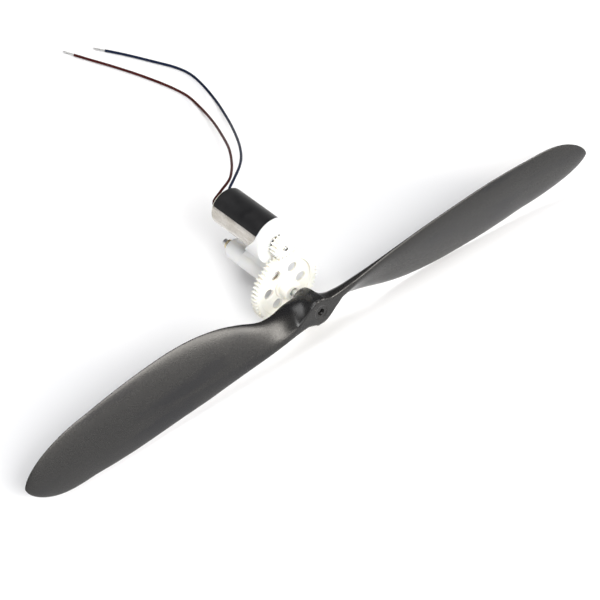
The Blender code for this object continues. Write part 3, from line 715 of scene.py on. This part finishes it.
def prop_stations():
    """Stations along x: close at the hub, open along the blade, close at the tip."""
    near = np.concatenate([np.arange(0.0, 2.4, 0.2), np.arange(2.4, 4.2, 0.09),
                           np.arange(4.2, 8.0, 0.25), np.arange(8.0, 16.0, 0.5)])
    far = np.arange(16.0, TIP_START, 1.0)
    turn = np.linspace(0.0, math.pi / 2.0, 26)[:-1]
    tip = TIP_START + (TIP_END - 0.01 - TIP_START) * np.sin(turn)
    half = np.concatenate([near, far, tip, [TIP_END - 0.02]])
    return np.concatenate([-half[::-1][:-1], half])


def turned(profile, segments, centre_z=0.0):
    """A solid turned about a line along y; profile is (radius, y) points."""
    bm = bmesh.new()
    rings = []
    for radius, y in profile:
        if radius < 1e-6:
            rings.append([bm.verts.new((0.0, y, centre_z))])
            continue
        ring = []
        for k in range(segments):
            angle = 2.0 * math.pi * k / segments
            ring.append(bm.verts.new((radius * math.cos(angle), y,
                                      centre_z + radius * math.sin(angle))))
        rings.append(ring)
    closed = not (profile[0][0] < 1e-6 and profile[-1][0] < 1e-6)
    pairs = list(zip(rings[:-1], rings[1:]))
    if closed:
        pairs.append((rings[-1], rings[0]))
    for a, b in pairs:
        steps = max(len(a), len(b))
        for k in range(steps):
            n = (k + 1) % steps
            if len(a) == 1:
                bm.faces.new((a[0], b[n], b[k]))
            elif len(b) == 1:
                bm.faces.new((a[k], a[n], b[0]))
            else:
                bm.faces.new((a[k], a[n], b[n], b[k]))
    bmesh.ops.recalc_face_normals(bm, faces=bm.faces)
    return bm


def rounded(points, radius, steps=4):
    """A (radius, y) profile with its marked corners rounded; the ends stay."""
    out = [points[0]]
    for i in range(1, len(points) - 1):
        p = np.array(points[i][:2], dtype=float)
        a = np.array(points[i - 1][:2], dtype=float)
        b = np.array(points[i + 1][:2], dtype=float)
        r = points[i][2] if len(points[i]) > 2 else radius
        la = np.linalg.norm(a - p)
        lb = np.linalg.norm(b - p)
        cut = min(r, la * 0.48, lb * 0.48)
        if cut < 1e-4:
            out.append(tuple(p))
            continue
        start = p + (a - p) / la * cut
        end = p + (b - p) / lb * cut
        for k in range(steps + 1):
            t = k / steps
            q = (1 - t) ** 2 * start + 2 * t * (1 - t) * p + t * t * end
            out.append(tuple(q))
    out.append(points[-1])
    return [tuple(q[:2]) for q in out]


def work_object(bm):
    """A throwaway object for modifiers to work on; the bmesh is used up."""
    mesh = bpy.data.meshes.new("work")
    bm.to_mesh(mesh)
    bm.free()
    obj = bpy.data.objects.new("work", mesh)
    bpy.context.scene.collection.objects.link(obj)
    return obj


WELD = 0.001


def evaluated(obj):
    """A new bmesh of the object as its modifiers leave it; the object is removed."""
    bpy.context.view_layer.update()
    graph = bpy.context.evaluated_depsgraph_get()
    result = bpy.data.meshes.new_from_object(obj.evaluated_get(graph))
    bm = bmesh.new()
    bm.from_mesh(result)
    bpy.data.meshes.remove(result)
    discard(obj)
    return bm


def discard(obj):
    mesh = obj.data
    bpy.data.objects.remove(obj, do_unlink=True)
    bpy.data.meshes.remove(mesh)


def combine(base, other, operation):
    """Exact Boolean of two bmeshes; both are used up."""
    a = work_object(base)
    b = work_object(other)
    mod = a.modifiers.new("cut", "BOOLEAN")
    mod.operation = operation
    mod.solver = "EXACT"
    mod.object = b
    bm = evaluated(a)
    discard(b)
    bmesh.ops.remove_doubles(bm, verts=bm.verts, dist=WELD)
    bmesh.ops.dissolve_degenerate(bm, dist=WELD, edges=bm.edges)
    return bm


def to_row(bm):
    """Scale a shaft-centred millimetre mesh into the row frame."""
    for vert in bm.verts:
        vert.co = place(*vert.co)
    return bm


def add_piece(mats, name, bm, slot, body, node, sharp=40.0):
    """Finish a shaft-centred mesh as the piece that stands for one CAD node."""
    obj = finish_mesh(name, to_row(bm), mats[slot], sharp)
    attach(obj, body)
    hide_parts(node)
    return obj


RECESS_R = 1.7
RECESS_DEPTH = 0.1
HUB_BORE_R = 0.82


def add_propeller(mats):
    """Blades and hub in one skin, with the shaft's bore and a shallow recess in front."""
    bm = bmesh.new()
    rings = []
    for x in prop_stations():
        rings.append([bm.verts.new((x, y, z)) for y, z in prop_ring(float(x))])
    skin(bm, rings)
    bm.faces.new(rings[0])
    bm.faces.new(rings[-1])
    bmesh.ops.recalc_face_normals(bm, faces=bm.faces)
    floor = HUB_FRONT + RECESS_DEPTH
    recess = turned(rounded(((0.0, -4.0), (RECESS_R, -4.0), (RECESS_R, HUB_FRONT - 0.02, 0.1),
                             (RECESS_R - 0.25, floor, 0.2), (0.0, floor)), 0.1), 64)
    bm = combine(bm, recess, "DIFFERENCE")
    bore = turned(((0.0, -4.5), (HUB_BORE_R, -4.5), (HUB_BORE_R, 6.0), (0.0, 6.0)), 64)
    bm = combine(bm, bore, "DIFFERENCE")
    add_piece(mats, "moulded_propeller", bm, "prop_plastic", "drive_line", "propeller", 50.0)


# ---------------------------------------------------------------- gears
MODULE = 0.3
PRESSURE_ANGLE = math.radians(20.0)
GEAR_TEETH = 54
PINION_TEETH = 16
ADDENDUM = 0.27
GEAR_FRONT = 8.5
GEAR_REAR = 10.1
BOSS_R = 2.1
BOSS_FRONT = 6.1
POCKET_INNER_R = 2.6
POCKET_OUTER_R = 6.7
GEAR_BORE_R = 0.82
PINION_BORE_R = 0.56
GEAR_HOLES = 6
GEAR_HOLE_R = 1.15
GEAR_HOLE_CIRCLE = 4.3


def gear_outline(teeth, start_deg, dedendum, play, inset):
    """(x, z) outline of an involute spur gear, pulled in by inset."""
    pitch_r = 0.5 * MODULE * teeth
    base_r = pitch_r * math.cos(PRESSURE_ANGLE)
    tip_r = pitch_r + ADDENDUM - inset
    root_r = pitch_r - dedendum - inset
    inv_pitch = math.tan(PRESSURE_ANGLE) - PRESSURE_ANGLE
    half_tooth = math.pi / (2 * teeth) - (play / 2 + inset) / pitch_r
    foot_r = max(root_r, base_r)
    foot = half_tooth + inv_pitch
    if root_r > base_r:
        roll = math.acos(base_r / root_r)
        foot -= math.tan(roll) - roll
    flank = [(root_r, foot + 0.06 / root_r), (root_r + 0.02, foot + 0.02 / root_r),
             (root_r + 0.07, foot)]
    top_r = tip_r - 0.035
    for k in range(6):
        r = foot_r + 0.08 + (top_r - foot_r - 0.08) * k / 5.0
        roll = math.acos(base_r / r)
        flank.append((r, half_tooth + inv_pitch - math.tan(roll) + roll))
    flank.append((tip_r - 0.01, flank[-1][1] - 0.012 / tip_r))
    flank.append((tip_r, flank[-1][1] - 0.026 / tip_r))
    outline = []
    for i in range(teeth):
        middle = math.radians(start_deg) + 2.0 * math.pi * i / teeth
        for r, half in flank:
            outline.append((r * math.cos(middle - half), r * math.sin(middle - half)))
        for r, half in reversed(flank):
            outline.append((r * math.cos(middle + half), r * math.sin(middle + half)))
    return outline


def toothed(teeth, start_deg, dedendum, play, y0, y1, edge, centre_z):
    """A toothed disc from y0 to y1, its faces' edges rounded by a quarter turn."""
    turns = [math.radians(a) for a in (0.0, 30.0, 60.0, 90.0)]
    levels = [(y0 + edge * (1.0 - math.cos(a)), edge * (1.0 - math.sin(a))) for a in turns]
    levels += [(y1 - (y - y0), inset) for y, inset in levels[::-1]]
    bm = bmesh.new()
    rings = []
    for y, inset in levels:
        outline = gear_outline(teeth, start_deg, dedendum, play, inset)
        rings.append([bm.verts.new((x, y, z + centre_z)) for x, z in outline])
    skin(bm, rings)
    bm.faces.new(rings[0])
    bm.faces.new(rings[-1])
    bmesh.ops.recalc_face_normals(bm, faces=bm.faces)
    return bm


def gear_hole_cutters():
    """The lightening holes, each with a small round lip at both ends."""
    holes = bmesh.new()
    flare = GEAR_HOLE_R + 0.12
    profile = rounded(((0.0, 7.6), (flare, 7.6), (flare, GEAR_FRONT + 0.49, 0.02),
                       (GEAR_HOLE_R, GEAR_FRONT + 0.62, 0.08),
                       (GEAR_HOLE_R, GEAR_REAR - 0.52, 0.08),
                       (flare, GEAR_REAR - 0.39, 0.02), (flare, 11.0), (0.0, 11.0)), 0.0)
    for k in range(GEAR_HOLES):
        turn = 2.0 * math.pi * k / GEAR_HOLES
        hole = turned(profile, 40)
        shift = Vector((GEAR_HOLE_CIRCLE * math.cos(turn), 0.0,
                        GEAR_HOLE_CIRCLE * math.sin(turn)))
        for vert in hole.verts:
            vert.co += shift
        mesh = bpy.data.meshes.new("hole")
        hole.to_mesh(mesh)
        hole.free()
        holes.from_mesh(mesh)
        bpy.data.meshes.remove(mesh)
    return holes


def add_main_gear(mats):
    """Spur gear with a pocket in each face, a boss in front and holes in its web."""
    bm = toothed(GEAR_TEETH, 90.0, 0.36, 0.07, GEAR_FRONT, GEAR_REAR, 0.08, 0.0)
    for face, inward, depth in ((GEAR_FRONT, 1.0, 0.5), (GEAR_REAR, -1.0, 0.4)):
        outside = face - 1.5 * inward
        lip = face + 0.12 * inward
        floor = face + depth * inward
        pocket = rounded(((POCKET_INNER_R - 0.15, outside),
                          (POCKET_INNER_R - 0.15, face, 0.05),
                          (POCKET_INNER_R, lip, 0.08), (POCKET_INNER_R, floor, 0.12),
                          (POCKET_OUTER_R, floor, 0.2), (POCKET_OUTER_R, lip, 0.08),
                          (POCKET_OUTER_R + 0.15, face, 0.05),
                          (POCKET_OUTER_R + 0.15, outside)), 0.1)
        bm = combine(bm, turned(pocket, 128), "DIFFERENCE")
    boss = rounded(((0.0, BOSS_FRONT), (BOSS_R, BOSS_FRONT, 0.22),
                    (BOSS_R, GEAR_FRONT - 0.1, 0.2), (BOSS_R + 0.4, GEAR_FRONT + 0.15),
                    (0.0, GEAR_FRONT + 0.15)), 0.1)
    bm = combine(bm, turned(boss, 96), "UNION")
    bm = combine(bm, gear_hole_cutters(), "DIFFERENCE")
    bore = turned(((0.0, 4.0), (1.05, 4.0), (1.05, BOSS_FRONT - 0.05),
                   (GEAR_BORE_R, BOSS_FRONT + 0.2), (GEAR_BORE_R, GEAR_REAR - 0.15),
                   (1.0, GEAR_REAR + 0.05), (1.0, 12.0), (0.0, 12.0)), 64)
    bm = combine(bm, bore, "DIFFERENCE")
    add_piece(mats, "moulded_main_gear", bm, "gear_acetal", "drive_line", "main_gear")


def add_pinion(mats):
    """A small gear on the motor shaft, with a gap, not a tooth, facing the main gear."""
    half_step = 180.0 / PINION_TEETH
    front, rear = GEAR_FRONT - 0.35, GEAR_REAR + 0.1
    bm = toothed(PINION_TEETH, half_step - 90.0, 0.42, 0.09, front, rear, 0.06, CENTRE)
    bore = turned(((0.0, 7.0), (0.7, 7.0), (0.7, front - 0.05), (PINION_BORE_R, front + 0.1),
                   (PINION_BORE_R, rear - 0.1), (0.68, rear + 0.05), (0.68, 12.0),
                   (0.0, 12.0)), 40, CENTRE)
    bm = combine(bm, bore, "DIFFERENCE")
    add_piece(mats, "moulded_pinion", bm, "gear_acetal", "rotor", "pinion")


# ---------------------------------------------------------------- gearbox
def prism_x(outline, half):
    """Extrude a (y, z) outline from -half to half along x."""
    bm = bmesh.new()
    rings = [[bm.verts.new((x, y, z)) for y, z in outline] for x in (-half, half)]
    skin(bm, rings)
    bm.faces.new(rings[0])
    bm.faces.new(rings[-1])
    bmesh.ops.recalc_face_normals(bm, faces=bm.faces)
    return bm


REMESH_SCALE = 0.1
SKIN_VOXEL = 0.14
SKIN_SMOOTHING = 4


def moulded(bm):
    """Re-skin a solid with small even faces and soften every edge as moulding does."""
    for vert in bm.verts:
        vert.co *= REMESH_SCALE
    obj = work_object(bm)
    mod = obj.modifiers.new("skin", "REMESH")
    mod.mode = "VOXEL"
    mod.voxel_size = SKIN_VOXEL * REMESH_SCALE
    mod = obj.modifiers.new("soften", "SMOOTH")
    mod.factor = 0.5
    mod.iterations = SKIN_SMOOTHING
    skinned = evaluated(obj)
    for vert in skinned.verts:
        vert.co /= REMESH_SCALE
    return skinned


TUBE_R = 2.4
TUBE_FRONT = 10.95
TUBE_REAR = 26.1
SLEEVE_R = 5.1
SLEEVE_BORE_R = 4.42
SLEEVE_FRONT = 10.7
NOSE_HOLE_R = 1.75
BUSH_SEAT_R = 1.53
TUBE_BORE_R = 0.95
WEB_HALF = 1.3


def add_gearbox(mats):
    """Bearing tube, web and motor sleeve in one moulding."""
    zc = CENTRE
    tube = turned(rounded(((0.0, TUBE_FRONT), (TUBE_R, TUBE_FRONT, 0.15),
                           (TUBE_R, TUBE_REAR - 0.7, 0.3), (TUBE_R - 0.25, TUBE_REAR - 0.2, 0.2),
                           (TUBE_R - 0.75, TUBE_REAR, 0.1), (0.0, TUBE_REAR)), 0.15), 96)
    web = prism_x(((11.3, 0.0), (21.4, 0.0), (21.0, 1.9), (20.4, 2.9), (17.2, zc - 3.8),
                   (16.6, zc - 3.0), (11.3, zc - 3.0)), WEB_HALF)
    sleeve = turned(rounded(((0.0, SLEEVE_FRONT), (SLEEVE_R, SLEEVE_FRONT, 0.3),
                             (SLEEVE_R, 22.0), (0.0, 22.0)), 0.1), 128, zc)
    # The sleeve's side view: long below, cut back in a curve above.
    side_view = ((9.7, zc - 6.0), (19.0, zc - 6.0), (16.5, zc - 2.95), (13.05, zc + 1.3),
                 (12.72, zc + 1.75), (12.55, zc + 2.2), (12.47, zc + 2.7), (12.45, zc + 3.2),
                 (12.45, zc + 6.0), (9.7, zc + 6.0))
    sleeve = combine(sleeve, prism_x(side_view, 8.0), "INTERSECT")
    body = combine(combine(tube, web, "UNION"), sleeve, "UNION")
    cuts = (
        turned(((0.0, SLEEVE_FRONT + 0.75), (SLEEVE_BORE_R, SLEEVE_FRONT + 0.75),
                (SLEEVE_BORE_R, 30.0), (0.0, 30.0)), 128, zc),
        turned(((0.0, 8.0), (NOSE_HOLE_R, 8.0), (NOSE_HOLE_R, 14.0), (0.0, 14.0)), 64, zc),
        turned(((0.0, 9.95), (BUSH_SEAT_R, 9.95), (BUSH_SEAT_R, 13.55), (TUBE_BORE_R, 13.55),
                (TUBE_BORE_R, 23.5), (BUSH_SEAT_R, 23.5), (BUSH_SEAT_R, 27.1), (0.0, 27.1)), 64),
    )
    for cut in cuts:
        body = combine(body, cut, "DIFFERENCE")
    add_piece(mats, "moulded_gearbox", moulded(body), "white_nylon", "power_unit",
              "gearbox_frame", 80.0)


# ---------------------------------------------------------------- motor
CAN_R = 4.15
CAN_FRONT = 11.65
CAN_REAR = 27.1
CAN_INSIDE_R = CAN_R - 0.3
NOSE_R = 1.5
NOSE_FRONT = CAN_FRONT - 0.9


def add_can(mats):
    """Drawn can: nose, rounded shoulder, and a lip rolled in over the cap."""
    inner = CAN_INSIDE_R
    profile = [(1.05, NOSE_FRONT + 0.08)]
    profile += rounded(((1.12, NOSE_FRONT), (NOSE_R - 0.1, NOSE_FRONT, 0.12),
                        (NOSE_R, NOSE_FRONT + 0.2, 0.1), (NOSE_R, CAN_FRONT, 0.12),
                        (CAN_R, CAN_FRONT, 0.55), (CAN_R, 14.0)), 0.1, 8)
    profile += [(CAN_R, 17.0), (CAN_R, 20.0), (CAN_R, 23.0)]
    profile += rounded(((CAN_R, 25.0), (CAN_R, CAN_REAR - 0.02, 0.34),
                        (inner, CAN_REAR - 0.02, 0.12), (inner, 25.0)), 0.1, 8)
    profile += rounded(((inner, 20.0), (inner, CAN_FRONT + 0.3, 0.3),
                        (1.05, CAN_FRONT + 0.3)), 0.1)
    add_piece(mats, "drawn_can", turned(profile, 144, CENTRE), "can_steel", "power_unit",
              "motor_can", 60.0)


LABEL_START = math.radians(150.0)
LABEL_SWEEP = math.radians(249.0)
LABEL_FRONT = 12.75
LABEL_REAR = CAN_REAR - 0.1
LABEL_CORNER = 0.5


def add_label(mats):
    """Film wrapped most of the way round, its corners cut round."""
    columns, rows = 150, 24
    low, high = LABEL_FRONT, LABEL_REAR
    corner = LABEL_CORNER
    inner, outer = CAN_R + 0.03, CAN_R + 0.11
    reach = LABEL_SWEEP * outer
    bm = bmesh.new()
    ends = (0.0, 0.03, 0.08, 0.15, 0.25, 0.37, corner)
    spans = sorted(set(ends) | {reach - v for v in ends}
                   | {corner + (reach - 2 * corner) * k / columns for k in range(columns + 1)})
    loops = []
    for run in spans:
        edge = min(run, reach - run)
        cut = 0.0
        if edge < corner:
            cut = corner - math.sqrt(max(corner ** 2 - (corner - edge) ** 2, 0.0))
        cut = min(cut, corner * 0.96)
        ease = 0.018 * max(0.0, 1.0 - edge / 0.08)
        angle = LABEL_START - run / outer
        loop = []
        for k in range(rows + 1):
            y = low + cut + (high - low - 2 * cut) * k / rows
            trim = 0.02 if k in (0, rows) else 0.0
            loop.append((outer - ease - trim, y))
        for k in range(rows, -1, -1):
            loop.append((inner, low + cut + (high - low - 2 * cut) * k / rows))
        loops.append([bm.verts.new((r * math.cos(angle), y, CENTRE + r * math.sin(angle)))
                      for r, y in loop])
    skin(bm, loops)
    bm.faces.new(loops[0])
    bm.faces.new(loops[-1])
    add_piece(mats, "wrapped_label", bm, "label_film", "power_unit", "motor_label", 35.0)


LEAD_HOLE_X = 2.2
LEAD_HOLE_R = 0.42
SLOT_Z = 2.0
SLOT_HALF = 0.28


def add_end_cap(mats):
    """Plastic plug with a dimple, two lead holes and two shallow slots in its back."""
    inner = CAN_INSIDE_R
    back = CAN_REAR + 0.75
    profile = rounded(((0.0, back - 0.22), (0.8, back - 0.22, 0.08), (0.95, back, 0.06),
                       (3.1, back, 0.15), (3.72, back - 0.28, 0.15),
                       (3.88, CAN_REAR + 0.03, 0.03), (inner - 0.04, CAN_REAR + 0.03, 0.0),
                       (inner - 0.04, CAN_REAR - 1.0, 0.05), (0.86, CAN_REAR - 1.0, 0.0),
                       (0.86, CAN_REAR - 2.0, 0.05), (0.58, CAN_REAR - 2.0, 0.05),
                       (0.58, CAN_REAR - 0.2, 0.0), (0.0, CAN_REAR - 0.2)), 0.1)
    bm = turned(profile, 96, CENTRE)
    for side in (-1.0, 1.0):
        hole = turned(((0.0, 24.0), (LEAD_HOLE_R, 24.0), (LEAD_HOLE_R, back - 0.12),
                       (0.55, back + 0.02), (0.55, 30.0), (0.0, 30.0)), 32, CENTRE)
        for vert in hole.verts:
            vert.co.x += LEAD_HOLE_X * side
        bm = combine(bm, hole, "DIFFERENCE")
    for side in (-1.0, 1.0):
        low = CENTRE + side * SLOT_Z - SLOT_HALF
        high = CENTRE + side * SLOT_Z + SLOT_HALF
        slot = prism_x(((back - 0.2, low), (back + 1.0, low), (back + 1.0, high),
                        (back - 0.2, high)), 0.85)
        bm = combine(bm, slot, "DIFFERENCE")
    add_piece(mats, "moulded_end_cap", bm, "end_cap_plastic", "power_unit", "motor_end_cap")


# ---------------------------------------------------------------- small parts
SHAFT_R = 0.75
MOTOR_SHAFT_R = 0.5
BUSH_R = 1.5
BUSH_BORE_R = 0.8


def add_turned(mats, name, slot, body, node, profile, centre_z=0.0):
    """A piece turned from one profile."""
    bm = turned(rounded(profile, 0.06), 72, centre_z)
    add_piece(mats, name, bm, slot, body, node, 50.0)


def add_small_parts(mats):
    """Shafts, bushes, washer and collar: each a (radius, y[, corner]) profile."""
    add_turned(mats, "ground_prop_shaft", "bright_steel", "drive_line", "prop_shaft",
               ((0.0, -SHAFT_PROUD), (SHAFT_R - 0.13, -SHAFT_PROUD, 0.06),
                (SHAFT_R, 0.17 - SHAFT_PROUD, 0.05), (SHAFT_R, 4.0, 0.0), (SHAFT_R, 12.0, 0.0),
                (SHAFT_R, 20.0, 0.0), (SHAFT_R, 28.4, 0.05), (SHAFT_R - 0.15, 28.6, 0.06),
                (0.0, 28.6)))
    add_turned(mats, "ground_motor_shaft", "bright_steel", "rotor", "motor_shaft",
               ((0.0, 7.8), (MOTOR_SHAFT_R - 0.08, 7.8, 0.04), (MOTOR_SHAFT_R, 7.9, 0.03),
                (MOTOR_SHAFT_R, 12.0, 0.0), (MOTOR_SHAFT_R, 20.0, 0.0),
                (MOTOR_SHAFT_R, 26.5, 0.03), (MOTOR_SHAFT_R - 0.08, 26.6, 0.03), (0.0, 26.6)),
               CENTRE)
    add_turned(mats, "flanged_front_bush", "sintered_bronze", "power_unit", "front_bushing",
               ((BUSH_BORE_R, 12.0), (BUSH_BORE_R, 10.62), (0.9, 10.5, 0.04),
                (1.85, 10.5, 0.1), (1.85, 10.92, 0.05), (BUSH_R, 10.92, 0.03), (BUSH_R, 13.5),
                (BUSH_BORE_R, 13.5)))
    add_turned(mats, "rear_bush", "sintered_bronze", "power_unit", "rear_bushing",
               ((BUSH_BORE_R, 25.0), (BUSH_BORE_R, 23.5), (BUSH_R, 23.5, 0.05),
                (BUSH_R, 26.13, 0.0), (1.6, 26.13, 0.03), (1.6, 26.35, 0.08),
                (0.92, 26.35, 0.04), (BUSH_BORE_R, 26.22)))
    add_turned(mats, "thrust_washer", "bright_steel", "drive_line", "rear_washer",
               ((0.81, 26.5), (0.81, 26.42), (1.3, 26.42, 0.08), (1.3, 26.67, 0.08),
                (0.81, 26.67), (0.81, 26.6)))
    add_turned(mats, "stop_collar", "brass_trim", "drive_line", "rear_collar",
               ((0.8, 27.1), (0.8, 26.83), (0.88, 26.75, 0.03), (1.15, 26.75, 0.1),
                (1.15, 27.35, 0.14), (0.88, 27.35, 0.03), (0.8, 27.27)))


# ---------------------------------------------------------------- stage
def add_stage():
    """A plain white table."""
    bpy.ops.mesh.primitive_plane_add(size=3.0, location=(0.0, 0.3, -0.00005))
    floor = bpy.context.object
    floor.name = "floor"
    s = Shade("floor_white", (0.93, 0.93, 0.93), 0.55)
    cloud = s.noise(s.coords, 3.0, 2.0, 0.5)
    s.to(s.ramp(cloud, 0.3, 0.7, (0.925, 0.925, 0.93), (0.94, 0.94, 0.94)), "Base Color")
    s.fixed("Specular IOR Level", 0.15)
    floor.data.materials.append(s.mat)


def aim(obj, target):
    """Point a light at the target."""
    direction = Vector(target) - obj.location
    obj.rotation_euler = direction.to_track_quat("-Z", "Y").to_euler()


def add_light(name, where, target, size, energy, colour=(1.0, 1.0, 1.0)):
    """A rectangular area light."""
    data = bpy.data.lights.new(name, "AREA")
    data.shape = "RECTANGLE"
    data.size = size[0]
    data.size_y = size[1]
    data.energy = energy
    data.color = colour
    obj = bpy.data.objects.new(name, data)
    obj.location = where
    bpy.context.scene.collection.objects.link(obj)
    aim(obj, target)


def add_world():
    """A studio that is bright near the table and darker overhead."""
    world = bpy.data.worlds.new("studio")
    bpy.context.scene.world = world
    world.use_nodes = True
    tree = world.node_tree
    coords = tree.nodes.new("ShaderNodeTexCoord")
    split = tree.nodes.new("ShaderNodeSeparateXYZ")
    ramp = tree.nodes.new("ShaderNodeValToRGB")
    ramp.color_ramp.elements[0].position = 0.08
    ramp.color_ramp.elements[0].color = (0.66, 0.66, 0.66, 1.0)
    ramp.color_ramp.elements[1].position = 0.62
    ramp.color_ramp.elements[1].color = (0.17, 0.172, 0.185, 1.0)
    tree.links.new(coords.outputs["Generated"], split.inputs[0])
    tree.links.new(split.outputs["Z"], ramp.inputs["Fac"])
    back = tree.nodes["Background"]
    tree.links.new(ramp.outputs["Color"], back.inputs["Color"])
    back.inputs["Strength"].default_value = 1.0


def add_lights():
    """Bright white studio, with a warm low light for the can and the hub."""
    add_world()
    middle = (0.0, 0.0, 0.01)
    add_light("key", (-0.33, -0.90, 0.76), middle, (0.46, 0.46), 10.3)
    add_light("low_side", (0.50, -0.82, 0.27), middle, (0.50, 0.36), 9.0, (1.0, 0.955, 0.89))
    add_light("top", (-0.22, 0.0, 1.03), middle, (0.6, 0.6), 6.0)
    bpy.context.scene.view_settings.view_transform = "Standard"
    bpy.context.scene.view_settings.look = "None"


# ---------------------------------------------------------------- build
add_camera()
materials = make_materials()
dress_cad(materials)
add_leads(materials)
add_propeller(materials)
add_main_gear(materials)
add_pinion(materials)
add_gearbox(materials)
add_can(materials)
add_label(materials)
add_end_cap(materials)
add_small_parts(materials)
add_stage()
add_lights()
